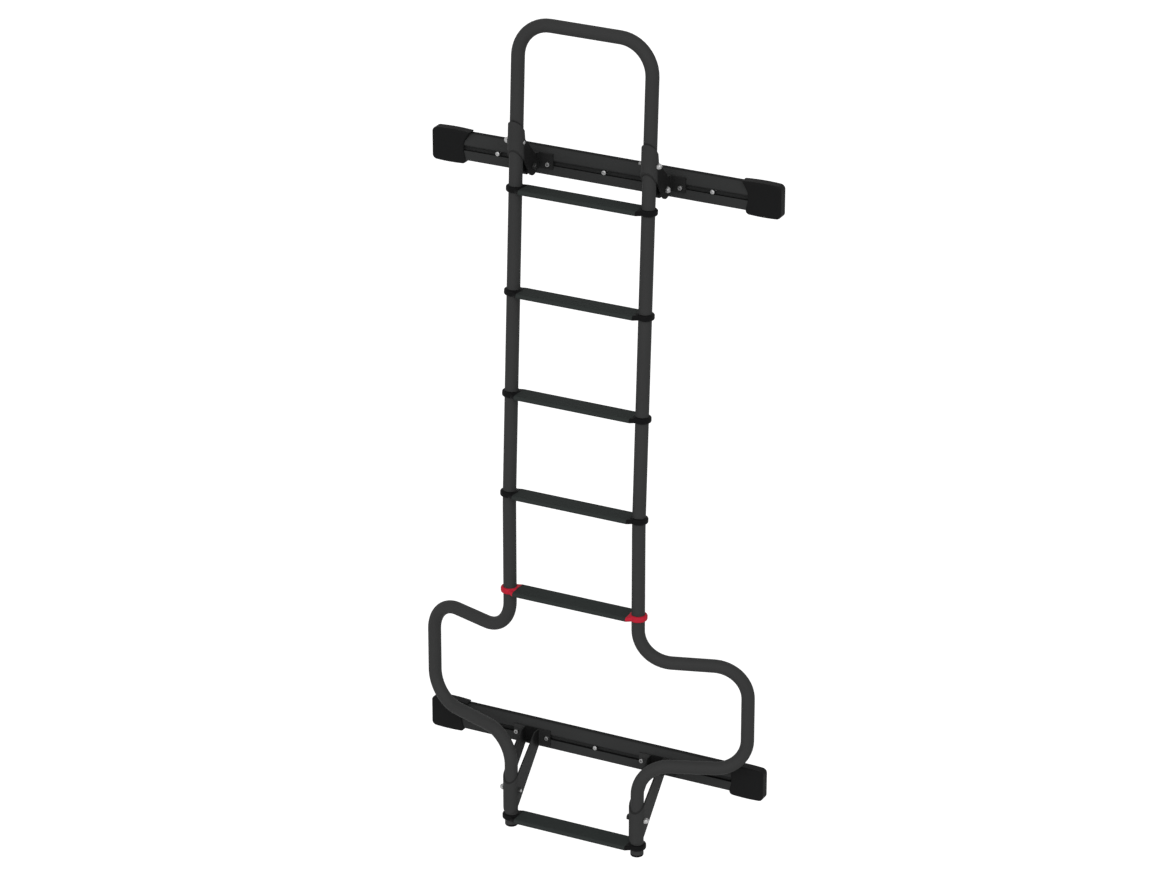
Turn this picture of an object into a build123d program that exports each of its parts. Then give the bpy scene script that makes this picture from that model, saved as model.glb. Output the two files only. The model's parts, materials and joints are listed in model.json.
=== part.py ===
from build123d import *
import os
from math import cos, radians, sin, tan

# Ladder for the rear door of a van, in millimetres. X runs along the rungs, Y points to the door and Z is up.
# The origin is the centre of the lower bar's back face, which lies on the door.

# Tube frame
LADDER_HEIGHT = 1918.3
TUBE_DIAMETER = 30.0
TUBE_WALL = 2.0
BEND_RADIUS = 76.0
STILE_SPACING = 317.0
STILE_SETBACK = 126.0
LEAN_ANGLE = 3.0
KINK_RADIUS = 900.0
KINK_BELOW_RUNG = 14.0
HOOP_RISE = 372.5
WIDE_SPACING = 784.0
WIDE_SETBACK = 51.0
UPPER_JOG_DROP = 106.5
LOWER_JOG_OUTER_Z = 50.0
LOWER_JOG_INNER_Z = 41.0
FOOT_LENGTH = 17.0
SPIGOT_LENGTH = 40.0
SPIGOT_WALL = 2.0
SPIGOT_CLEARANCE = 0.3

# Foot plugs
PLUG_HEAD = 6.0
PLUG_ROUNDING = 3.0
PLUG_SHANK = 16.0
PLUG_CLEARANCE = 0.2

# Rungs, counted from the top
UPPER_RUNGS = 5
LAST_RUNG_Z = 407.7
BOTTOM_RUNG_Z = -162.8
TREAD_DEPTH = 54.0
TREAD_THICKNESS = 11.0
TREAD_EDGE = 5.0
TREAD_WALL = 2.0

# Rung clamps
CLAMP_WALL = 5.5
CLAMP_ABOVE = 8.0
CLAMP_BELOW = 5.6
CLAMP_ROUNDING = 4.0
CLAMP_REACH = 19.0
CLAMP_CLEARANCE = 0.2
TONGUE_LENGTH = 25.0
TONGUE_CLEARANCE = 0.25

# Bars on the door
UPPER_BAR_ABOVE_RUNG = 29.5
UPPER_BAR_SETBACK = 38.9
BAR_HALF_LENGTH = 414.0
BAR_HEIGHT = 61.0
BAR_DEPTH = 20.0
BAR_WALL = 2.5
BAR_LIP = 22.0
SLOT_MOUTH = 9.5
SLOT_LIP = 5.5
SLOT_WIDTH = 14.0
SLOT_DEPTH = 11.5
CROWN_FOOT = 5.0
FIXING_PITCH = 257.5
FIXING_DIAMETER = 6.6

# End caps
CAP_END_WALL = 4.0
CAP_FRONT_WALL = 3.0
CAP_ABOVE_BAR = 4.0
CAP_BELOW_BAR = 8.0
CAP_BULGE = 2.0
CAP_LENGTH = 78.0
CAP_TOP_LIP = 14.0
CAP_LOW_LIP = 6.5
CAP_SCOOP = 20.0
CAP_HEEL = 9.0
CAP_CORNER = 11.0
CAP_EDGE = 3.5
CAP_CLEARANCE = 0.3

# Straps and brackets
STRAP_THICKNESS = 3.5
STRAP_CLEARANCE = 0.3
BOLT_HOLE = 8.4
FLANGE_HOLE = 6.6
TOP_BOLT_ABOVE_BAR = 76.0
TOP_STRAP_RISE = 49.0
TOP_STRAP_DROP = 11.5
SHOULDER_BEHIND_BOLT = 2.0
SHOULDER_ABOVE_BOLT = 26.5
KNEE_BEHIND_BOLT = 6.0
KNEE_ABOVE_BOLT = 5.5
EAR_RADIUS = 20.5
EAR_CORNER_BACK = 1.0
EAR_CORNER_RISE = 26.0
EAR_CORNER_RADIUS = 5.0
PIVOT_REACH = 58.5
PIVOT_ABOVE_BAR = 8.5
WEB_THICKNESS = 10.0
WEB_NOSE = 20.5
TOP_FLANGE_WIDTH = 74.0
TOP_FLANGE_HEIGHT = 34.6
TOP_FLANGE_THICKNESS = 4.0
TOP_FLANGE_MARGIN = 11.0
TOP_FLANGE_LIFT = 6.1
SPACER_RADIUS = 15.0
LOWER_BOLT_Z = -94.0
LOWER_FLANGE_WIDTH = 92.0
LOWER_FLANGE_TOP = 14.0
LOWER_FLANGE_BOTTOM = -25.0
LOWER_FLANGE_MARGIN = 7.6
LOWER_BEND = 3.0
LOWER_STRAP_FRONT_TOP = -74.0
LOWER_STRAP_FRONT_BOTTOM = -150.0
LOWER_NOTCH_BEHIND = 8.0
LOWER_NOTCH_Z = -46.0
LOWER_ARM_TOP_RUN = 24.0

# Places that follow from the driving dimensions
TUBE_RADIUS = TUBE_DIAMETER / 2
BORE_RADIUS = TUBE_RADIUS - TUBE_WALL
STILE_X = STILE_SPACING / 2
WIDE_X = WIDE_SPACING / 2
TUBE_END_Z = BOTTOM_RUNG_Z - FOOT_LENGTH
HOOP_Z = TUBE_END_Z - PLUG_HEAD + LADDER_HEIGHT - TUBE_RADIUS
FIRST_RUNG_Z = HOOP_Z - HOOP_RISE
RUNG_PITCH = (FIRST_RUNG_Z - LAST_RUNG_Z) / (UPPER_RUNGS - 1)
KINK_Z = LAST_RUNG_Z + RUNG_PITCH - KINK_BELOW_RUNG
JOINT_Z = LAST_RUNG_Z
UPPER_JOG_Z = LAST_RUNG_Z - UPPER_JOG_DROP
GROOVE_RISE = BAR_LIP + SLOT_MOUTH / 2 - BAR_HEIGHT / 2
UPPER_BAR_Z = FIRST_RUNG_Z + UPPER_BAR_ABOVE_RUNG
TOP_BOLT_Z = UPPER_BAR_Z + TOP_BOLT_ABOVE_BAR
UPPER_BAR_FRONT = UPPER_BAR_SETBACK - BAR_DEPTH
PIVOT_Y = UPPER_BAR_FRONT - PIVOT_REACH
PIVOT_Z = UPPER_BAR_Z + PIVOT_ABOVE_BAR
STRAP_INNER = TUBE_RADIUS + STRAP_CLEARANCE
STRAP_OUTER = STRAP_INNER + STRAP_THICKNESS
TOP_FLANGE_BOLT = TOP_FLANGE_WIDTH / 2 - TOP_FLANGE_MARGIN
LOWER_FLANGE_BOLT = LOWER_FLANGE_WIDTH / 2 - LOWER_FLANGE_MARGIN
CLAMP_HEIGHT = CLAMP_ABOVE + CLAMP_BELOW
CLAMP_MIDDLE = (CLAMP_ABOVE - CLAMP_BELOW) / 2
CHAMBER_WIDTH = (TREAD_DEPTH - 3 * TREAD_WALL) / 2
CHAMBER_HEIGHT = TREAD_THICKNESS - 2 * TREAD_WALL
CHAMBER_OFFSET = (CHAMBER_WIDTH + TREAD_WALL) / 2
CHAMBER_EDGE = TREAD_EDGE - TREAD_WALL
QUARTER_TURN = 90.0
SIDES = {"left": -1, "right": 1}


def stile_y(z):
    """Depth of the stile's axis at a height: upright below the kink, leaning to the door above it."""
    return -STILE_SETBACK + max(0.0, z - KINK_Z) * tan(radians(LEAN_ANGLE))


def stile_direction(z):
    """Unit vector up the stile at a height."""
    lean = radians(LEAN_ANGLE) if z > KINK_Z else 0.0
    return Vector(0, sin(lean), cos(lean))


def cross_hole(x, y, z, diameter):
    """A drill along X, long enough for a stile with its strap."""
    return Pos(x, y, z) * Rot(0, 90, 0) * Cylinder(diameter / 2, 4 * STRAP_OUTER)


def swept_tube(path):
    """A round tube along a path of straight runs and arcs."""
    start = Plane(origin=path @ 0, z_dir=path % 0)
    wall = Circle(TUBE_RADIUS) - Circle(BORE_RADIUS)
    return sweep(start * wall, path=path)


def upper_frame_tube():
    """The inverted U: two stiles with their kink and the hoop over them."""
    left = [(-STILE_X, stile_y(z), z) for z in (JOINT_Z, KINK_Z, HOOP_Z)]
    right = [(-x, y, z) for x, y, z in reversed(left)]
    path = FilletPolyline(*left, *right, radius=[KINK_RADIUS, BEND_RADIUS, BEND_RADIUS, KINK_RADIUS])
    tube = swept_tube(path)
    for side in SIDES.values():
        tube -= cross_hole(side * STILE_X, stile_y(TOP_BOLT_Z), TOP_BOLT_Z, BOLT_HOLE)
    return tube


def lower_tube(side):
    """A lower tube: out and back to the wide upright, in and forward to the leg, with a spigot on top."""
    front, back = -STILE_SETBACK, -WIDE_SETBACK
    points = [
        (side * STILE_X, front, JOINT_Z),
        (side * STILE_X, front, UPPER_JOG_Z),
        (side * WIDE_X, back, UPPER_JOG_Z),
        (side * WIDE_X, back, LOWER_JOG_OUTER_Z),
        (side * STILE_X, front, LOWER_JOG_INNER_Z),
        (side * STILE_X, front, TUBE_END_Z),
    ]
    tube = swept_tube(FilletPolyline(*points, radius=BEND_RADIUS))
    rest_on_z = Align.CENTER, Align.CENTER, Align.MIN
    root = Cylinder(BORE_RADIUS, SPIGOT_LENGTH / 2, align=(Align.CENTER, Align.CENTER, Align.MAX))
    spigot = root + Cylinder(BORE_RADIUS - SPIGOT_CLEARANCE, SPIGOT_LENGTH, align=rest_on_z)
    spigot -= Cylinder(BORE_RADIUS - SPIGOT_CLEARANCE - SPIGOT_WALL, 3 * SPIGOT_LENGTH)
    tube += Pos(side * STILE_X, front, JOINT_Z) * spigot
    return tube - cross_hole(side * STILE_X, front, LOWER_BOLT_Z, BOLT_HOLE)


def foot_plug(side):
    """A plug in the end of the leg, with a rounded head as wide as the tube."""
    hang = Align.CENTER, Align.CENTER, Align.MAX
    head = Cylinder(TUBE_RADIUS, PLUG_HEAD, align=hang)
    head = fillet(head.edges().sort_by(Axis.Z)[0], PLUG_ROUNDING)
    shank = Cylinder(BORE_RADIUS - PLUG_CLEARANCE, PLUG_SHANK, align=(Align.CENTER, Align.CENTER, Align.MIN))
    return Pos(side * STILE_X, -STILE_SETBACK, TUBE_END_Z) * (head + shank)


def tread(z):
    """A hollow tread, square to the stiles, between the clamps of a rung."""
    up = stile_direction(z)
    plane = Plane(origin=(0, stile_y(z), z), x_dir=(0, up.Z, -up.Y), z_dir=(1, 0, 0))
    chamber = RectangleRounded(CHAMBER_WIDTH, CHAMBER_HEIGHT, CHAMBER_EDGE)
    section = RectangleRounded(TREAD_DEPTH, TREAD_THICKNESS, TREAD_EDGE)
    section -= Pos(-CHAMBER_OFFSET, 0) * chamber
    section -= Pos(CHAMBER_OFFSET, 0) * chamber
    return extrude(plane * section, amount=STILE_X - CLAMP_REACH, both=True)


def rung_clamp(side, z):
    """A collar round the tube that flares to the tread, with two tongues in the tread's chambers."""
    outer = TUBE_RADIUS + CLAMP_CLEARANCE + CLAMP_WALL
    collar = fillet(Cylinder(outer, CLAMP_HEIGHT).edges().filter_by(GeomType.CIRCLE), CLAMP_ROUNDING)
    tread_room = Box(outer, 4 * outer, 2 * CLAMP_HEIGHT, align=(Align.MIN, Align.CENTER, Align.CENTER))
    collar = Pos(0, 0, CLAMP_MIDDLE) * collar - Pos(CLAMP_REACH, 0, 0) * tread_room
    neck = RectangleRounded(2 * (outer - CLAMP_ROUNDING), CLAMP_HEIGHT - CLAMP_ROUNDING / 2, TREAD_EDGE)
    mouth = RectangleRounded(TREAD_DEPTH, TREAD_THICKNESS, TREAD_EDGE)
    flare = loft([Plane.YZ * Pos(0, CLAMP_MIDDLE) * neck, Plane.YZ.offset(CLAMP_REACH) * mouth])
    body = collar + flare - Cylinder(TUBE_RADIUS + CLAMP_CLEARANCE, 2 * CLAMP_HEIGHT)
    tongue = RectangleRounded(CHAMBER_WIDTH - 2 * TONGUE_CLEARANCE, CHAMBER_HEIGHT - 2 * TONGUE_CLEARANCE,
                              CHAMBER_EDGE - TONGUE_CLEARANCE)
    for offset in (-CHAMBER_OFFSET, CHAMBER_OFFSET):
        root = Plane.YZ.offset(CLAMP_REACH) * Pos(offset, 0) * tongue
        body += extrude(root, amount=TONGUE_LENGTH)
    place = Plane(origin=(side * STILE_X, stile_y(z), z), x_dir=(-side, 0, 0), z_dir=stile_direction(z))
    return place * body


def bar_outline(grow=0.0):
    """Section of a bar without its slot: flat back and lip, and a front that rounds over to the top."""
    foot = BAR_LIP + SLOT_MOUTH
    edges = Polyline((-grow, foot), (-grow, -grow), (BAR_DEPTH, -grow), (BAR_DEPTH, BAR_HEIGHT + grow))
    rise = BAR_HEIGHT - foot + grow
    centre = BAR_DEPTH, foot
    crown = EllipticalCenterArc(centre, BAR_DEPTH + grow, rise, QUARTER_TURN, arc_size=QUARTER_TURN)
    return make_face(edges + crown)


def bar_section():
    """Section of a bar with its slot and its two hollow chambers."""
    corner = Align.MIN, Align.MIN
    slot_middle = BAR_LIP + SLOT_MOUTH / 2
    slot_low = slot_middle - SLOT_WIDTH / 2
    slot_high = slot_middle + SLOT_WIDTH / 2
    inside = bar_outline(-BAR_WALL)
    lower = inside & Rectangle(BAR_DEPTH - BAR_WALL, slot_low - BAR_WALL, align=corner)
    upper = inside & Pos(0, slot_high + BAR_WALL) * Rectangle(BAR_DEPTH - BAR_WALL, BAR_HEIGHT, align=corner)
    mouth = Pos(0, BAR_LIP) * Rectangle(SLOT_DEPTH, SLOT_MOUTH, align=corner)
    slot = Pos(SLOT_LIP, slot_low) * Rectangle(SLOT_DEPTH - SLOT_LIP, SLOT_WIDTH, align=corner)
    section = bar_outline() - lower - upper - mouth - slot
    crown_foot = section.vertices().filter_by_position(Axis.X, -1, 1).sort_by(Axis.Y)[-1]
    return fillet(crown_foot, CROWN_FOOT)


def bar_plane(back_y, centre_z):
    """Plane of a bar's section: first axis to the door, second axis up, from the lip's lower front."""
    return Plane(origin=(0, back_y - BAR_DEPTH, centre_z - BAR_HEIGHT / 2), x_dir=(0, 1, 0), z_dir=(1, 0, 0))


def bar(back_y, centre_z):
    """A bar with its fixing holes through the floor of the slot."""
    body = extrude(bar_plane(back_y, centre_z) * bar_section(), amount=BAR_HALF_LENGTH, both=True)
    for x in (-FIXING_PITCH, 0, FIXING_PITCH):
        drill = Rot(90, 0, 0) * Cylinder(FIXING_DIAMETER / 2, 4 * BAR_DEPTH)
        body -= Pos(x, back_y, centre_z + GROOVE_RISE) * drill
    return body


def end_cap(side, back_y, centre_z):
    """A cap over a bar's end, open at the back, with a scooped mouth that reaches furthest along the top."""
    low = centre_z - BAR_HEIGHT / 2 - CAP_BELOW_BAR
    high = centre_z + BAR_HEIGHT / 2 + CAP_ABOVE_BAR
    end = BAR_HALF_LENGTH + CAP_END_WALL
    mouth = end - CAP_LENGTH
    scoop_low = centre_z - BAR_HEIGHT / 6
    scoop_high = centre_z + BAR_HEIGHT / 6
    heel = mouth - CAP_LOW_LIP
    tip = mouth - CAP_TOP_LIP
    edges = Polyline((heel, low), (mouth, scoop_low), (mouth, scoop_high), (tip, high))
    edges += Line((end, high), (end, low))
    edges += ThreePointArc((tip, high), ((tip + end) / 2, high + CAP_BULGE), (end, high))
    edges += ThreePointArc((end, low), ((heel + end) / 2, low - CAP_BULGE), (heel, low))
    outline = make_face(edges)
    outline = fillet(outline.vertices().group_by(Axis.X)[-1], CAP_CORNER)
    outline = fillet(outline.vertices().filter_by_position(Axis.X, mouth - 0.1, mouth + 0.1), CAP_SCOOP)
    outline = fillet(outline.vertices().filter_by_position(Axis.X, heel - 0.1, heel + 0.1), CAP_HEEL)
    depth = BAR_DEPTH + CAP_FRONT_WALL
    # The outline stands in the XZ plane, whose normal points away from the door.
    block = extrude(Plane.XZ * outline, amount=depth)
    front = block.faces().sort_by(Axis.Y)[0]
    rounded = [e for e in front.edges() if e.center().X > mouth + CAP_EDGE]
    block = fillet(rounded, CAP_EDGE)
    cap = block - extrude(bar_plane(0, centre_z) * bar_outline(CAP_CLEARANCE), amount=BAR_HALF_LENGTH)
    if side < 0:
        cap = mirror(cap, about=Plane.YZ)
    return Pos(0, back_y, 0) * cap


def strap_channel(length):
    """Plan of a U-strap: half round in front of the tube, with cheeks that run back beside it."""
    back = Align.CENTER, Align.MIN
    outer = Circle(STRAP_OUTER) + Rectangle(2 * STRAP_OUTER, length, align=back)
    inner = Circle(STRAP_INNER) + Rectangle(2 * STRAP_INNER, 2 * length, align=back)
    return outer - inner


def top_strap(side):
    """A strap round the stile, whose cheeks widen to ears that run back and down to the pivot bolt."""
    seat = Plane(origin=(side * STILE_X, stile_y(TOP_BOLT_Z), TOP_BOLT_Z), z_dir=stile_direction(TOP_BOLT_Z),
                 x_dir=(1, 0, 0))
    pivot = seat.to_local_coords(Vector(side * STILE_X, PIVOT_Y, PIVOT_Z))
    shoulder = (SHOULDER_BEHIND_BOLT, SHOULDER_ABOVE_BOLT)
    knee = (KNEE_BEHIND_BOLT, KNEE_ABOVE_BOLT)
    front_top = (-STRAP_OUTER, TOP_STRAP_RISE)
    front_bottom = (-STRAP_OUTER, -TOP_STRAP_DROP)
    collar = make_face(Polyline(front_top, shoulder, knee, front_bottom, close=True))
    lobe = Pos(pivot.Y, pivot.Z) * Circle(EAR_RADIUS)
    corner = Pos(pivot.Y + EAR_CORNER_BACK, pivot.Z + EAR_CORNER_RISE) * Circle(EAR_CORNER_RADIUS)
    ear = make_hull(lobe.edges() + corner.edges() + Line(front_bottom, knee).edges())
    channel = extrude(strap_channel(pivot.Y + 2 * EAR_RADIUS), amount=LADDER_HEIGHT / 4, both=True)
    strap = channel & extrude(Plane.YZ * (collar + ear), amount=2 * STRAP_OUTER, both=True)
    for y, z in ((0, 0), (pivot.Y, pivot.Z)):
        strap -= cross_hole(0, y, z, BOLT_HOLE)
    return seat * strap


def top_bracket(side):
    """A flange on the upper bar with a web that carries the pivot bolt in its rounded nose."""
    x = side * STILE_X
    on_bar = Align.CENTER, Align.MAX, Align.CENTER
    flange = Box(TOP_FLANGE_WIDTH, TOP_FLANGE_THICKNESS, TOP_FLANGE_HEIGHT, align=on_bar)
    groove_z = UPPER_BAR_Z + GROOVE_RISE
    flange_z = groove_z + TOP_FLANGE_LIFT
    bracket = Pos(x, UPPER_BAR_FRONT, flange_z) * flange
    nose = Pos(PIVOT_Y, PIVOT_Z) * Circle(WEB_NOSE)
    foot = Rectangle(TOP_FLANGE_THICKNESS, TOP_FLANGE_HEIGHT, align=(Align.MAX, Align.CENTER))
    foot = Pos(UPPER_BAR_FRONT, flange_z) * foot
    web = make_hull(nose.edges() + foot.edges())
    bracket += extrude(Plane.YZ.offset(x) * web, amount=WEB_THICKNESS / 2, both=True)
    bracket -= cross_hole(x, PIVOT_Y, PIVOT_Z, BOLT_HOLE)
    for offset_x in (-TOP_FLANGE_BOLT, TOP_FLANGE_BOLT):
        drill = Rot(90, 0, 0) * Cylinder(FLANGE_HOLE / 2, 4 * TOP_FLANGE_THICKNESS)
        bracket -= Pos(x + offset_x, UPPER_BAR_FRONT, groove_z) * drill
    return bracket


def top_spacers(side):
    """Two bushes on the pivot bolt, between the web and the strap's cheeks."""
    width = STRAP_INNER - WEB_THICKNESS / 2
    ring = Plane.YZ * (Circle(SPACER_RADIUS) - Circle(BOLT_HOLE / 2))
    bushes = []
    for turn in (-1, 1):
        start = Pos(side * STILE_X + turn * WEB_THICKNESS / 2, PIVOT_Y, PIVOT_Z)
        bushes.append(start * extrude(ring, amount=turn * width))
    return Compound(children=bushes)


def lower_bracket(side):
    """A strap round the leg whose arms run back and up to a wide plate on the lower bar."""
    reach = STILE_SETBACK - BAR_DEPTH
    plate = Rectangle(LOWER_FLANGE_WIDTH, STRAP_THICKNESS, align=(Align.CENTER, Align.MAX))
    plan = strap_channel(reach) + Pos(0, reach) * plate
    bends = plan.vertices().filter_by(lambda v: abs(abs(v.X) - STRAP_OUTER) < 0.01 and v.Y > reach / 2)
    plan = fillet(bends, LOWER_BEND)
    heels = plan.vertices().filter_by(lambda v: abs(abs(v.X) - STRAP_INNER) < 0.01 and v.Y > reach / 2)
    plan = fillet(heels, LOWER_BEND)
    front, flange_front = -STRAP_OUTER, reach - STRAP_THICKNESS
    side_view = Polygon(
        (front, LOWER_STRAP_FRONT_BOTTOM),
        (flange_front, LOWER_FLANGE_BOTTOM),
        (reach, LOWER_FLANGE_BOTTOM),
        (reach, LOWER_FLANGE_TOP),
        (reach - LOWER_ARM_TOP_RUN, LOWER_FLANGE_TOP),
        (LOWER_NOTCH_BEHIND, LOWER_NOTCH_Z),
        (front, LOWER_STRAP_FRONT_TOP),
        align=None,
    )
    bracket = extrude(plan, amount=2 * STILE_SETBACK, both=True)
    bracket &= extrude(Plane.YZ * side_view, amount=LOWER_FLANGE_WIDTH, both=True)
    bracket -= cross_hole(0, 0, LOWER_BOLT_Z, BOLT_HOLE)
    for x in (-LOWER_FLANGE_BOLT, LOWER_FLANGE_BOLT):
        bracket -= Pos(x, reach, GROOVE_RISE) * Rot(90, 0, 0) * Cylinder(FLANGE_HOLE / 2, 4 * STRAP_THICKNESS)
    return Pos(side * STILE_X, -STILE_SETBACK, 0) * bracket


def build():
    """All pieces by name."""
    pieces = {
        "upper_frame_tube": upper_frame_tube(),
        "upper_bar": bar(UPPER_BAR_SETBACK, UPPER_BAR_Z),
        "lower_bar": bar(0, 0),
    }
    rungs = {f"rung_{i + 1}": FIRST_RUNG_Z - i * RUNG_PITCH for i in range(UPPER_RUNGS)}
    rungs["bottom_rung"] = BOTTOM_RUNG_Z
    for name, z in rungs.items():
        pieces[name] = tread(z)
        for word, side in SIDES.items():
            pieces[f"{name}_{word}_clamp"] = rung_clamp(side, z)
    for word, side in SIDES.items():
        pieces[f"{word}_lower_tube"] = lower_tube(side)
        pieces[f"{word}_foot_plug"] = foot_plug(side)
        pieces[f"{word}_top_strap"] = top_strap(side)
        pieces[f"{word}_top_bracket"] = top_bracket(side)
        pieces[f"{word}_top_spacers"] = top_spacers(side)
        pieces[f"{word}_lower_bracket"] = lower_bracket(side)
        pieces[f"upper_bar_{word}_cap"] = end_cap(side, UPPER_BAR_SETBACK, UPPER_BAR_Z)
        pieces[f"lower_bar_{word}_cap"] = end_cap(side, 0, 0)
    return pieces


os.makedirs("parts", exist_ok=True)
for name, piece in build().items():
    export_step(piece, f"parts/{name}.step")
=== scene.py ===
# %% [markdown]
# # A ladder for a van's rear door
#
# The solids of the ladder come as a fixed frame: bent tubes, flat rungs in their clamps, straps,
# brackets, bars and end caps. This lesson sets up the picture, gives every finish its own surface, and
# adds the bolts and screws that hold the ladder together.

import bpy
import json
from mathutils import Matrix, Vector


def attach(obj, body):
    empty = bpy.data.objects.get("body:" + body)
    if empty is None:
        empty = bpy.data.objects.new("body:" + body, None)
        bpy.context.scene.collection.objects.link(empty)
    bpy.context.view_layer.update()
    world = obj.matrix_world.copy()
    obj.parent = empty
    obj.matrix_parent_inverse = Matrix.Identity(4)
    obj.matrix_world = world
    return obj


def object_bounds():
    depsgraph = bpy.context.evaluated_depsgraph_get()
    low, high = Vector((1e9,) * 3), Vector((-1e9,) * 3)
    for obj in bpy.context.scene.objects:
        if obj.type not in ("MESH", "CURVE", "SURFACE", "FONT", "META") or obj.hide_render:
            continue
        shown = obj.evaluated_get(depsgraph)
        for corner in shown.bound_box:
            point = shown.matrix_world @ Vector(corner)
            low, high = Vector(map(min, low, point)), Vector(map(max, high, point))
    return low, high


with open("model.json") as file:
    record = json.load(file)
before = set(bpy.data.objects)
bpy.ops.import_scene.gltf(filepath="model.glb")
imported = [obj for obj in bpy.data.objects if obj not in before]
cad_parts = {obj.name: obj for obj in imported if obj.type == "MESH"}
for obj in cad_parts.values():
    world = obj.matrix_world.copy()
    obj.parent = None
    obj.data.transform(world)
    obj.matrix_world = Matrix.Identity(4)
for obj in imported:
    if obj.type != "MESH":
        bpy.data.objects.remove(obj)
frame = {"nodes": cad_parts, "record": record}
cad_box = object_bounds()
print("pieces of the frame:", len(frame["nodes"]))

# %% [markdown]
# ## The camera
#
# A camera can be set by eye, or it can be worked out from straight edges in a picture. Here the long
# edges of the stiles, rungs and bars gave its turn, its distance and its lens together. The lens is long,
# which keeps the stiles almost parallel.

# %% The camera
import json
from math import cos, pi, radians, sin

import bmesh
import bpy
from mathutils import Matrix, Vector

CAMERA_PLACE = (4.11417, -8.26080, 4.85270)
CAMERA_TURN = (radians(66.1), 0.0, radians(26.741))
LENS_MM, SENSOR_MM = 142.57, 36.0
LADDER_MIDDLE = Vector((0.0, -0.05, 0.80))

scene = bpy.context.scene
camera = bpy.data.objects.new("photo_camera", bpy.data.cameras.new("photo_camera"))
camera.data.sensor_width = SENSOR_MM
camera.data.lens = LENS_MM
camera.location = CAMERA_PLACE
camera.rotation_euler = CAMERA_TURN
scene.collection.objects.link(camera)
scene.camera = camera
scene.view_settings.view_transform = "Standard"
print("camera", round((Vector(CAMERA_PLACE) - LADDER_MIDDLE).length, 2), "m from the ladder")

# %% [markdown]
# ## A finish as Python expressions
#
# A material is a graph of nodes, and wiring it by hand takes many lines. One small class wraps a socket,
# so that an expression such as `0.5 + 0.1 * grain` adds its own Math nodes. Any other node comes from one
# method, which takes its type, its settings, and the values or links of its sockets.


# %% Sockets that can be reckoned with
class Field:
    """A value that changes over a surface: a socket that takes part in expressions."""

    def __init__(self, finish, socket):
        self.finish = finish
        self.socket = socket

    def maths(self, operation, first, second):
        return self.finish.node("ShaderNodeMath", {"operation": operation}, {0: first, 1: second})

    def __add__(self, other):
        return self.maths("ADD", self, other)

    __radd__ = __add__

    def __sub__(self, other):
        return self.maths("SUBTRACT", self, other)

    def __rsub__(self, other):
        return self.maths("SUBTRACT", other, self)

    def __mul__(self, other):
        return self.maths("MULTIPLY", self, other)

    __rmul__ = __mul__

    def __gt__(self, other):
        return self.maths("GREATER_THAN", self, other)

    def __lt__(self, other):
        return self.maths("LESS_THAN", self, other)

    def __abs__(self):
        return self.maths("ABSOLUTE", self, 0.0)


print("a value over a surface is a", Field.__name__)


# %% Nodes from one method
class Finish:
    """A surface in the making: a node tree and the shader that it ends in."""

    def __init__(self, owner, shader):
        owner.use_nodes = True
        self.tree = owner.node_tree
        self.shader = self.tree.nodes[shader]

    def plug(self, socket, value):
        if isinstance(value, Field):
            self.tree.links.new(value.socket, socket)
        else:
            socket.default_value = value

    def node(self, kind, settings, sockets, output=0):
        made = self.tree.nodes.new(kind)
        for name, value in settings.items():
            if name == "stops":
                for stop, (place, level) in zip(made.color_ramp.elements, value):
                    stop.position = place
                    stop.color = (level, level, level, 1.0)
            else:
                setattr(made, name, value)
        for name, value in sockets.items():
            self.plug(made.inputs[name], value)
        return Field(self, made.outputs[output])

    def set(self, name, value):
        self.plug(self.shader.inputs[name], value)

    def mix(self, factor, first, second):
        """A colour between two others; each is three numbers or another mix."""
        ends = [c if isinstance(c, Field) else (*c, 1.0) for c in (first, second)]
        sockets = {0: factor, 6: ends[0], 7: ends[1]}
        return self.node("ShaderNodeMix", {"data_type": "RGBA"}, sockets, output=2)

    def along(self):
        """Places on the ladder, in metres."""
        return self.node("ShaderNodeTexCoord", {}, {}, output="Object")

    def place(self, axis):
        """One coordinate of a place on the ladder."""
        return self.node("ShaderNodeSeparateXYZ", {}, {0: self.along()}, output=axis)

    def facing(self, axis):
        """How far the surface faces along an axis, from -1 to 1."""
        normal = self.node("ShaderNodeNewGeometry", {}, {}, output="Normal")
        return self.node("ShaderNodeSeparateXYZ", {}, {0: normal}, output=axis)

    def ramp(self, value, start, end):
        """Zero before the start, one after the end, and a soft rise between."""
        sockets = {"Value": value, "From Min": start, "From Max": end}
        return self.node("ShaderNodeMapRange", {"interpolation_type": "SMOOTHSTEP"}, sockets)

    def noise(self, per_metre, detail=2.0, stretch=(1.0, 1.0, 1.0)):
        """Soft noise from 0 to 1; a small stretch draws it out along that axis."""
        place = self.node("ShaderNodeMapping", {}, {"Vector": self.along(), "Scale": stretch})
        return self.node("ShaderNodeTexNoise", {}, {"Vector": place, "Scale": per_metre, "Detail": detail})

    def bump(self, height, depth):
        """A rough surface, as deep as depth in metres."""
        self.set("Normal", self.node("ShaderNodeBump", {}, {"Height": height, "Distance": depth}))


FINISHES = {}


def new_finish(slot):
    """A new surface for a material slot of the ladder."""
    FINISHES[slot] = bpy.data.materials.new(f"{slot}_finish")
    return Finish(FINISHES[slot], "Principled BSDF")


def shade(colour, factor):
    """A colour made darker or lighter."""
    return [factor * c for c in colour]


print("a surface in the making is a", Finish.__name__)

# %% [markdown]
# ## The stage
#
# On a van the ladder hangs well over the ground, so the floor lies some way below its feet. The light is
# plain and soft: a pale sky and one broad sun, both in front. Behind the ladder, where a van's door would
# keep the light off, it is dim, so a tube falls off alike to both of its edges.
#
# A stronger lamp would whiten the floor, but it would also bleach the ladder. So the floor and the sky
# are lifted to white only for rays that come from the camera or from a reflection, and the floor still
# keeps the shadow.

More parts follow.
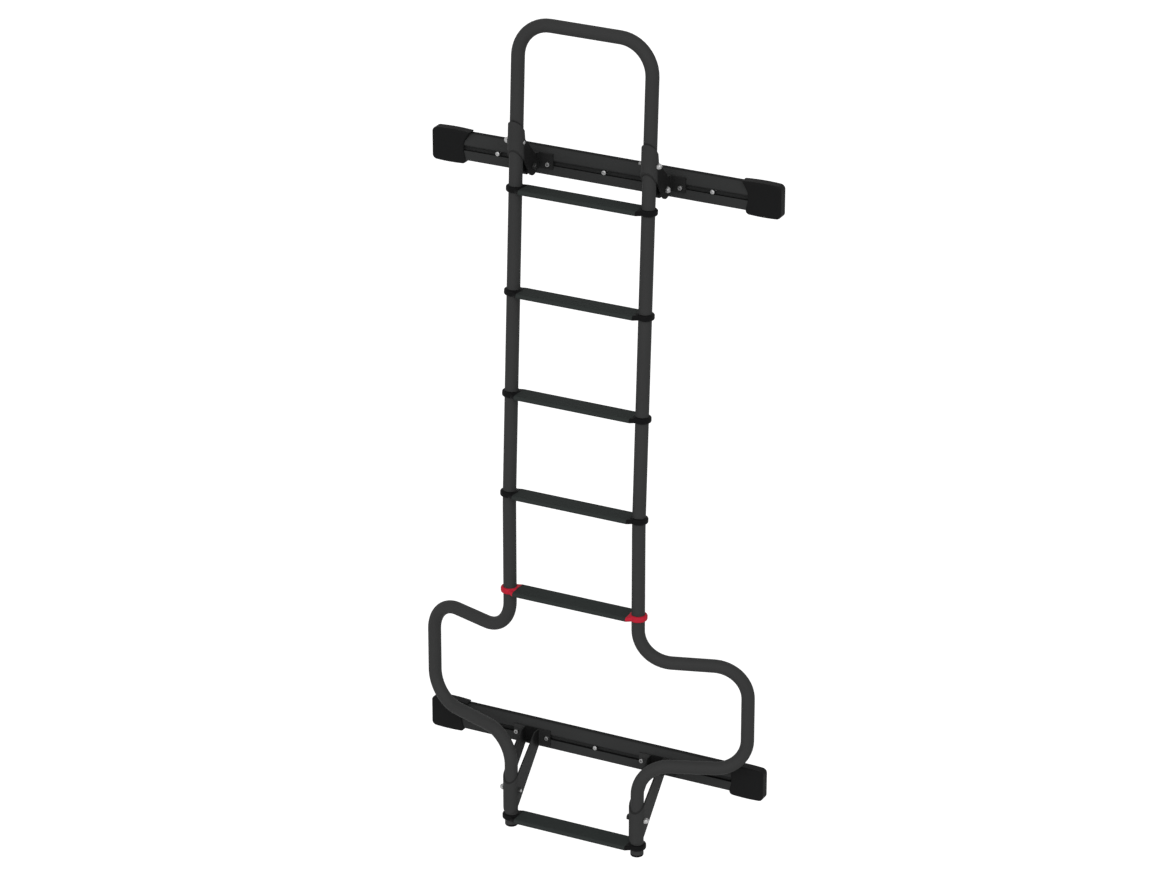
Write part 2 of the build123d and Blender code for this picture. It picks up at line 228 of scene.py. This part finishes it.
# %% The sky
WHITE, BLACK = (1.0, 1.0, 1.0), (0.0, 0.0, 0.0)
SKY_BEFORE, SKY_BEHIND = (0.72, 0.72, 0.72), (0.32, 0.32, 0.32)
BEFORE_WAY = (0.45, -0.89)
SKY_TURN = (-0.3, 0.7)
SEEN_RAYS = ("Is Camera Ray", "Is Glossy Ray", "Is Transmission Ray")


def seen(finish):
    """One for rays from the camera or from a reflection, zero for rays that only carry light."""
    rays = [finish.node("ShaderNodeLightPath", {}, {}, output=ray) for ray in SEEN_RAYS]
    return rays[0] + rays[1] + rays[2]


scene.world = bpy.data.worlds.new("studio")
sky = Finish(scene.world, "Background")
before = BEFORE_WAY[0] * sky.place("X") + BEFORE_WAY[1] * sky.place("Y")
graded = sky.mix(sky.ramp(before, *SKY_TURN), SKY_BEHIND, SKY_BEFORE)
sky.set("Color", sky.mix(seen(sky), graded, WHITE))
print("sky", SKY_BEFORE[0], "in front and", SKY_BEHIND[0], "behind")

# %% The floor
PAPER = (0.8, 0.8, 0.8)
PAPER_LIFT = (0.62, 0.62, 0.62)
FIBRES_PER_METRE = 30.0
FLOOR_BELOW = 0.42
FLOOR_REACH = 40.0

low = cad_box[0][2] - FLOOR_BELOW
corners = [(x * FLOOR_REACH, y * FLOOR_REACH, low) for x, y in ((-1, -1), (1, -1), (1, 1), (-1, 1))]
floor_mesh = bpy.data.meshes.new("floor")
floor_mesh.from_pydata(corners, [], [(0, 1, 2, 3)])
floor = bpy.data.objects.new("floor", floor_mesh)
scene.collection.objects.link(floor)
paper = new_finish("floor")
fibres = paper.noise(FIBRES_PER_METRE, detail=4.0)
paper.set("Base Color", paper.mix(fibres, shade(PAPER, 0.99), shade(PAPER, 1.01)))
paper.set("Roughness", 1.0)
paper.set("Specular IOR Level", 0.0)
paper.set("Emission Color", paper.mix(seen(paper), BLACK, PAPER_LIFT))
paper.set("Emission Strength", 1.0)
floor_mesh.materials.append(FINISHES["floor"])
print("floor at", round(low, 3), "m")

# %% The sun
SUN_FROM = Vector((0.26, -0.81, 0.53))
SUN_STRENGTH = 1.1
SUN_WIDTH = radians(50)

sun = bpy.data.objects.new("soft_sun", bpy.data.lights.new("soft_sun", "SUN"))
sun.data.energy = SUN_STRENGTH
sun.data.angle = SUN_WIDTH
sun.rotation_euler = SUN_FROM.to_track_quat("Z", "Y").to_euler()
scene.collection.objects.link(sun)
print("sun from", tuple(round(c, 2) for c in SUN_FROM.normalized()))

# %% [markdown]
# ## Coated metal
#
# Tubes, bars, rungs and brackets are metal under a baked black coat. Such a coat is never one flat black:
# it is a little cloudy, and it has a fine peel like an orange's skin. A painted image could be wrapped
# round the pieces, but noise in the ladder's own frame has no seams and needs no unwrapping. On the bars
# and rungs, which are pressed through a die, the noise is drawn out along the length, because the die
# leaves faint lines there.

# %% Coated metal
CLOUDS_PER_METRE = 7.0
PEEL_PER_METRE = 700.0
PEEL_DEPTH = 0.00005
COAT_GLOSS = 0.04
# How dark painted shade makes the coat, as a share of its colour.
PAINTED_SHADE_LEVEL = 0.25


def coat(name, colour, rough, stretch=(1.0, 1.0, 1.0), painted_shade=None):
    """A baked coat: cloudy, with a fine peel, and darker where painted shade is given."""
    finish = new_finish(name)
    clouds = finish.noise(CLOUDS_PER_METRE, detail=4.0)
    peel = finish.noise(PEEL_PER_METRE, stretch=stretch)
    tint = finish.mix(clouds, shade(colour, 0.9), shade(colour, 1.1))
    if painted_shade:
        # Painted shade: the mask darkens the coat's colour where shade would fall.
        tint = finish.mix(painted_shade(finish), tint, shade(colour, PAINTED_SHADE_LEVEL))
    finish.set("Base Color", tint)
    finish.set("Roughness", rough + 0.12 * (clouds - 0.5) + 0.08 * (peel - 0.5))
    finish.set("Specular IOR Level", COAT_GLOSS)
    finish.bump(peel, PEEL_DEPTH)


print("peel", 1000 / PEEL_PER_METRE, "mm apart")

# %% [markdown]
# ## Painted shade
#
# The coat is darkened in places as painted shade: in the slots and on the tops of the bars, along the
# edges of the straps, round the pivots of the top brackets, and at the roots of the lower ones. It could
# be painted by hand. A mask that is worked out from places is easier to move when a piece moves, so each
# mask is one where the painted shade is darkest and zero where the coat is left as it is. Pairs of numbers
# are the ends of its soft rise.

# %% Painted shade on the bars
GROOVES = {"upper_bar": {"front": 0.0189, "z": 1.37075}, "lower_bar": {"front": -0.0200, "z": -0.00375}}
LIP_DEPTHS = (0.0003, 0.006)
LIP_HEIGHTS = (-0.009, -0.003)
SHADED_TOP = (0.78, 0.93)
TOP_SHADE = 0.75


def within(value, limits):
    """One between two limits, and zero outside them."""
    return (value > limits[0]) * (value < limits[1])


def painted_shade_on_bars(finish):
    """Painted shade on the lower lips of the bars' slots, less along their tops, where they face up."""
    y, z = finish.place("Y"), finish.place("Z")
    # Painted shade along the bars' tops, where they face up.
    painted_shade = TOP_SHADE * finish.ramp(finish.facing("Z"), *SHADED_TOP)
    for groove in GROOVES.values():
        # Painted shade on the lower lip of each slot, under the crown.
        painted_shade = painted_shade + within(y - groove["front"], LIP_DEPTHS) * within(z - groove["z"], LIP_HEIGHTS)
    return painted_shade


print("dirt in", len(GROOVES), "slots")

# %% Painted shade along the straps
EDGE_SHADE = 0.55
EDGE_START = 0.001
STRAP_EDGES = {
    "top_strap_upper": {"front": (-0.0991, 1.5004), "back": (-0.0795, 1.4769), "line": (0.0055, 0.0030)},
    "top_strap_lower": {"front": (-0.1023, 1.4400), "back": (-0.0856, 1.4150), "line": (0.0030, 0.0012)},
    "lower_strap_lower": {"front": (-0.1448, -0.15), "back": (-0.1116, -0.1157), "line": (0.0030, 0.0012)},
}


def painted_shade_at_straps(finish):
    """Painted shade: lines round the tubes along the edges of the straps."""
    y, z = finish.place("Y"), finish.place("Z")
    lines = 0.0
    for edge in STRAP_EDGES.values():
        front, back = edge["front"], edge["back"]
        run = (Vector(back) - Vector(front)).normalized()
        off = (y - front[0]) * run.y - (z - front[1]) * run.x
        beside = within(y, (front[0] - EDGE_START, back[0]))
        # Painted shade: a dark line on the tube along each edge of a strap.
        lines = lines + beside * finish.ramp(abs(off), *edge["line"])
    return EDGE_SHADE * lines


print("dirt along", len(STRAP_EDGES), "edges of the straps")

# %% Painted shade on the brackets
STILE_X = 0.1585
PIVOT, PIVOT_RANGE = (0.0, -0.0396, 1.3830), (0.088, 0.076)
EAR_START = (-0.088, -0.080)
ARM_ROOT, ROOT_RANGE = (0.0, -0.0235, 0.0060), (0.038, 0.027)
ARMS_INNER, ARMS_OUTER = 0.0156, 0.0180
ARM_END = (-0.06, -0.035)
LOWER_PART = 0.1
TOP_PLATE, LOWER_PLATE, PLATE_SHADE = 0.005, -0.0275, 0.66
SHADED_RIM = (0.45, 0.6)


def painted_shade_on_brackets(finish):
    """Painted shade round the pivots, at the lower arms' roots, less on plates and on rims that face up."""
    x, y, z = [finish.place(axis) for axis in "XYZ"]
    side_view = finish.node("ShaderNodeCombineXYZ", {}, {"Y": y, "Z": z})

    def near(middle, limits):
        sockets = {0: side_view, 1: middle}
        reach = finish.node("ShaderNodeVectorMath", {"operation": "DISTANCE"}, sockets, output="Value")
        return finish.ramp(reach, *limits)

    def less_on(plate):
        # Painted shade is weaker further back, on the plates.
        return 1.0 - (1.0 - PLATE_SHADE) * (y > plate)

    beside = x - STILE_X * (2.0 * (x > 0.0) - 1.0)
    # Painted shade on the ears round each pivot.
    pivot = near(PIVOT, PIVOT_RANGE) * finish.ramp(y, *EAR_START) * less_on(TOP_PLATE)
    # Painted shadow on the right of each lower bracket's right arm, near the bar.
    root = near(ARM_ROOT, ROOT_RANGE) * (beside > ARMS_OUTER) * less_on(LOWER_PLATE)
    # Painted shade between the arms of the lower brackets, low and towards the back.
    between = (abs(beside) < ARMS_INNER) * (z < LOWER_PART) * finish.ramp(y, *ARM_END)
    # Painted shade on rims that face up.
    rims = EDGE_SHADE * finish.ramp(finish.facing("Z"), *SHADED_RIM)
    return finish.node("ShaderNodeMath", {"operation": "MAXIMUM"}, {0: pivot + root + between, 1: rims})


print("dirt round", PIVOT, "and", ARM_ROOT)

# %% Coats
DRAWN_OUT = (0.015, 1.0, 1.0)
# The masks above give painted shade to the tubes, the brackets and the bars.
coat("tube_coat", (0.0426, 0.0430, 0.0430), 0.58, painted_shade=painted_shade_at_straps)
coat("bracket_coat", (0.0410, 0.0414, 0.0414), 0.60, painted_shade=painted_shade_on_brackets)
coat("bar_coat", (0.0362, 0.0370, 0.0370), 0.58, DRAWN_OUT, painted_shade_on_bars)
coat("tread_coat", (0.0333, 0.0381, 0.0366), 0.75, DRAWN_OUT)
print("coats:", [slot for slot in FINISHES if slot.endswith("coat")])

# %% [markdown]
# ## Moulded plastic
#
# Clamps, plugs and caps are moulded. The etched steel of the mould leaves a fine grain, which makes them
# dull. A ramp on the noise cuts off the top of each grain, because the plastic doesn't reach the bottom
# of the etching.

# %% Moulded plastic
GRAIN_PER_METRE = 1300.0
GRAIN_DEPTH = 0.00006
GRAIN_STOPS = [(0.36, 0.0), (0.58, 1.0)]
PLASTIC_GLOSS = 0.06


def moulded(name, colour, rough):
    """Plastic from an etched mould."""
    finish = new_finish(name)
    clouds = finish.noise(CLOUDS_PER_METRE, detail=4.0)
    grain = finish.noise(GRAIN_PER_METRE, detail=1.0)
    flat_grain = finish.node("ShaderNodeValToRGB", {"stops": GRAIN_STOPS}, {"Fac": grain})
    finish.set("Base Color", finish.mix(clouds, shade(colour, 0.92), shade(colour, 1.08)))
    finish.set("Roughness", rough + 0.10 * (clouds - 0.5) - 0.06 * flat_grain)
    finish.set("Specular IOR Level", PLASTIC_GLOSS)
    finish.bump(flat_grain, GRAIN_DEPTH)


moulded("black_plastic", (0.0055, 0.0055, 0.0058), 0.66)
moulded("cap_plastic", (0.0096, 0.0098, 0.0100), 0.68)
moulded("red_plastic", (0.53, 0.0195, 0.041), 0.55)
print("plastics:", [slot for slot in FINISHES if slot.endswith("plastic")])

# %% [markdown]
# ## Plated steel
#
# Bolts and screws are steel with a thin bright plating. As a metal it has only the colour of its
# reflections. What makes it look plated and not polished is a cloudy roughness, and the fine rings that
# turning leaves on it.

# %% Plated steel
SPOTS_PER_METRE = 200.0
RINGS_PER_METRE = 180.0
RING_DEPTH = 0.00002
TURNING = (1.0, 1.0, 12.0)


def plated(name, colour):
    """Bright plating on turned steel."""
    finish = new_finish(name)
    spots = finish.noise(SPOTS_PER_METRE, detail=3.0)
    rings = finish.noise(RINGS_PER_METRE, detail=1.0, stretch=TURNING)
    finish.set("Base Color", finish.mix(spots, shade(colour, 0.82), colour))
    finish.set("Metallic", 1.0)
    finish.set("Roughness", 0.36 + 0.16 * spots)
    finish.bump(rings, RING_DEPTH)


plated("bolt_steel", (0.44, 0.44, 0.44))
# A darker copy of the same plating: painted shade for the pivot bolts and flange screws, which sit in
# shade.
plated("screw_steel", (0.34, 0.34, 0.34))
print("steels:", [slot for slot in FINISHES if slot.endswith("steel")])

# %% [markdown]
# ## Dressing the pieces
#
# The record of the ladder names a material slot for each piece. The slots and the finishes have the same
# names, so each piece gets its finish in one loop.

# %% Dressing the pieces
for row in frame["record"]["subparts"]:
    mesh = frame["nodes"][row["node"]].data
    mesh.materials.clear()
    mesh.materials.append(FINISHES[row["material_slot"]])

# %% [markdown]
# ## Turned pieces
#
# A bolt could be made with a Screw modifier on a profile, but its head has six sides and its socket would
# need a cut. A stack of rings makes all of it in one go: a ring is a height and a radius, and the radius
# may change with the angle, as on a hexagon. Faces between neighbouring rings close the skin.

# %% Rings to a mesh
MM = 0.001
SEGMENTS = 48
ANGLES = [2 * pi * i / SEGMENTS for i in range(SEGMENTS)]
SMOOTH_BELOW = radians(32)


def turned(name, rings, hollow=False):
    """A closed mesh from rings of (height, radius) in mm; a hollow one joins its last ring to its first."""
    skin = bmesh.new()
    loops = []
    for height, radius in rings:
        sizes = [radius(a) if callable(radius) else radius for a in ANGLES]
        points = [(MM * r * cos(a), MM * r * sin(a), MM * height) for r, a in zip(sizes, ANGLES)]
        loops.append([skin.verts.new(point) for point in points])
    if hollow:
        loops.append(loops[0])
    else:
        skin.faces.new(reversed(loops[0]))
        skin.faces.new(loops[-1])
    for lower, upper in zip(loops, loops[1:]):
        for i in range(SEGMENTS):
            j = (i + 1) % SEGMENTS
            skin.faces.new((lower[i], lower[j], upper[j], upper[i]))
    mesh = bpy.data.meshes.new(name)
    skin.to_mesh(mesh)
    skin.free()
    mesh.shade_smooth()
    mesh.set_sharp_from_angle(angle=SMOOTH_BELOW)
    return mesh


def hexagon(across, largest=None):
    """Radius of a hexagon at an angle, from its width across the flats; largest cuts its corners round."""
    def radius(angle):
        flat = across / 2 / cos(angle % (pi / 3) - pi / 6)
        return flat if largest is None else min(flat, largest)

    return radius


print("a ring has", SEGMENTS, "corners")

# %% [markdown]
# ## Bolts, screws and a nut
#
# The bolts through the stiles end outside in closed nuts: six sides with a dome on top, so that nothing
# catches on the thread. The screws in the flanges and bars have round heads with a socket. Each starts
# with the same shank: a tip, some threads and a plain part. All sizes are in millimetres.

# %% Rings of a bolt
PITCH_SHARE = 0.156
THREAD_DEPTH = 0.55


def shank(size, length, thread):
    """From the tip up to the underside of the head, which is at height zero."""
    crest, pitch = size / 2, PITCH_SHARE * size
    core = crest - THREAD_DEPTH * pitch
    rings = [(-length, 0.82 * core), (-length + 0.4 * pitch, core)]
    for turn in range(int(thread / pitch)):
        foot = -length + (0.4 + turn) * pitch
        rings += [(foot + 0.42 * pitch, crest), (foot + 0.58 * pitch, crest), (foot + pitch, core)]
    return rings + [(rings[-1][0] + 0.5 * pitch, crest), (0.0, crest)]


def capped_head(across, rise):
    """The six sides and the dome of a closed nut."""
    corner, dome = across / 2 / cos(pi / 6), 0.46 * across
    sides = 0.48 * rise
    rings = [(0.0, 0.48 * across), (0.06 * rise, hexagon(across))]
    for share in (0.0, 0.25, 0.5, 0.75, 1.0):
        rings.append((sides * (0.8 + 0.2 * share), hexagon(across, corner - (corner - dome) * share)))
    turns = [radians(10 * k) for k in range(1, 9)]
    return rings + [(sides + (rise - sides) * sin(turn), dome * cos(turn)) for turn in turns]


print("rings of a domed nut:", len(capped_head(13.0, 9.6)))


# %% Rings of a screw's head and of a nut
def round_head(width, rise, dome, socket):
    """Straight sides, a rounded top as high as dome, and a six-sided socket."""
    edge, shoulder = width / 2, rise - dome
    top = max(0.64 * socket, edge - 2 * dome)
    turns = [radians(9 * k) for k in range(1, 11)]
    rings = [(0.0, 0.96 * edge), (0.3, edge), (shoulder, edge)]
    rings += [(shoulder + dome * sin(turn), top + (edge - top) * cos(turn)) for turn in turns]
    return rings + [(rise, 0.62 * socket), (rise - 0.1, hexagon(socket)), (0.35 * rise, hexagon(socket))]


def nut_rings(across, height, bore):
    """A hexagon nut: round at both faces, with six sides between, and open for its bolt."""
    corner, face = across / 2 / cos(pi / 6), 0.47 * across
    cut = 0.12 * height
    lower = [(cut * k / 3, hexagon(across, face + (corner - face) * k / 3)) for k in range(4)]
    upper = [(height - h, radius) for h, radius in reversed(lower)]
    return [(0.4, bore), (0.0, bore + 0.5)] + lower + upper + [(height, bore + 0.5), (height - 0.4, bore)]


print("rings of a nut:", len(nut_rings(13.0, 5.0, 4.0)))

# %% [markdown]
# ## Bolts through the stiles
#
# Three bolts on each side go through a strap from cheek to cheek: one holds the stile in the top strap,
# one is the pivot of the top bracket, and one holds the leg in the lower bracket. Their places are those
# of the holes in the solids, so they are given once and mirrored. How far a bolt's end stands past its
# strap is given for the left and the right side.


# %% Setting a piece in its place
def set_piece(name, mesh, slot, place, along):
    """A turned piece in its place, with its own height along a direction."""
    piece = bpy.data.objects.new(name, mesh.copy())
    piece.data.materials.append(FINISHES[slot])
    turn = Vector(along).to_track_quat("Z", "X").to_matrix().to_4x4()
    piece.matrix_world = Matrix.Translation(place) @ turn
    scene.collection.objects.link(piece)
    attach(piece, "root")


OUTWARD = {"left": -1, "right": 1}
CHEEK = 0.0188
print("straps are", 2 * CHEEK, "m wide over their cheeks")

# %% Stile bolts
BOLT, BOLT_ACROSS, BOLT_RISE = 8.0, 13.0, 9.6
BOLT_THREAD = 9.0
NUT_HEIGHT, NUT_PLAY = 5.0, 0.05
STRAP_SPAN = 2 * CHEEK / MM
STILE_BOLTS = {
    "stile_bolt": {"at": (-0.0829, 1.4505), "slot": "bolt_steel", "nut": False, "past": (1.4, 6.5)},
    # The pivot bolt takes the darker steel, as painted shade.
    "pivot_bolt": {"at": PIVOT[1:], "slot": "screw_steel", "nut": True, "past": (3.6, 3.6)},
    "leg_bolt": {"at": (-0.1260, -0.0940), "slot": "bolt_steel", "nut": True, "past": (6.6, 6.6)},
}
nut_mesh = turned("nut", nut_rings(BOLT_ACROSS, NUT_HEIGHT, BOLT / 2 + NUT_PLAY), hollow=True)
for name, bolt in STILE_BOLTS.items():
    for (side, out), past in zip(OUTWARD.items(), bolt["past"]):
        rings = shank(BOLT, STRAP_SPAN + past, BOLT_THREAD) + capped_head(BOLT_ACROSS, BOLT_RISE)
        outer, inner = [(out * (STILE_X + way * CHEEK), *bolt["at"]) for way in (1, -1)]
        set_piece(f"{side}_{name}", turned(name, rings), bolt["slot"], outer, (out, 0, 0))
        if bolt["nut"]:
            set_piece(f"{side}_{name}_nut", nut_mesh, "bracket_coat", inner, (-out, 0, 0))
print("bolts through the stiles:", 2 * len(STILE_BOLTS))

# %% [markdown]
# ## Screws in the flanges and the bars
#
# Flange screws clamp the brackets to nuts inside the bars. They have high round heads with a deep socket.
# Three brighter screws with low domes go through each bar's slot and hold the bar to the door.

# %% Flange screws
FLANGE_PLATES = {
    "top_bracket": {"front": 0.0149, "z": GROOVES["upper_bar"]["z"], "offset": 0.0260},
    "lower_bracket": {"front": -0.0235, "z": GROOVES["lower_bar"]["z"], "offset": 0.0384},
}
high_head = round_head(width=10.0, rise=6.2, dome=0.8, socket=5.0)
flange_screw = turned("flange_screw", shank(size=6.0, length=9.0, thread=4.0) + high_head)
for bracket, plate in FLANGE_PLATES.items():
    for side, out in OUTWARD.items():
        for word, way in (("inner", -out), ("outer", out)):
            place = (out * STILE_X + way * plate["offset"], plate["front"], plate["z"])
            # The flange screws take the darker steel, as painted shade.
            set_piece(f"{side}_{bracket}_{word}_screw", flange_screw, "screw_steel", place, (0, -1, 0))
print("flange screws:", 4 * len(FLANGE_PLATES))

# %% Screws in the slots
FIXING_PITCH = 0.2575
SCREW_LIFT = 0.0008
low_head = round_head(width=10.5, rise=2.9, dome=2.3, socket=3.0)
bar_screw = turned("bar_screw", shank(size=5.0, length=19.0, thread=8.0) + low_head)
for bar, groove in GROOVES.items():
    for word, step in (("left", -1), ("middle", 0), ("right", 1)):
        place = (step * FIXING_PITCH, groove["front"], groove["z"] + SCREW_LIFT)
        set_piece(f"{bar}_{word}_screw", bar_screw, "bolt_steel", place, (0, -1, 0))
print("screws in the slots:", 3 * len(GROOVES))
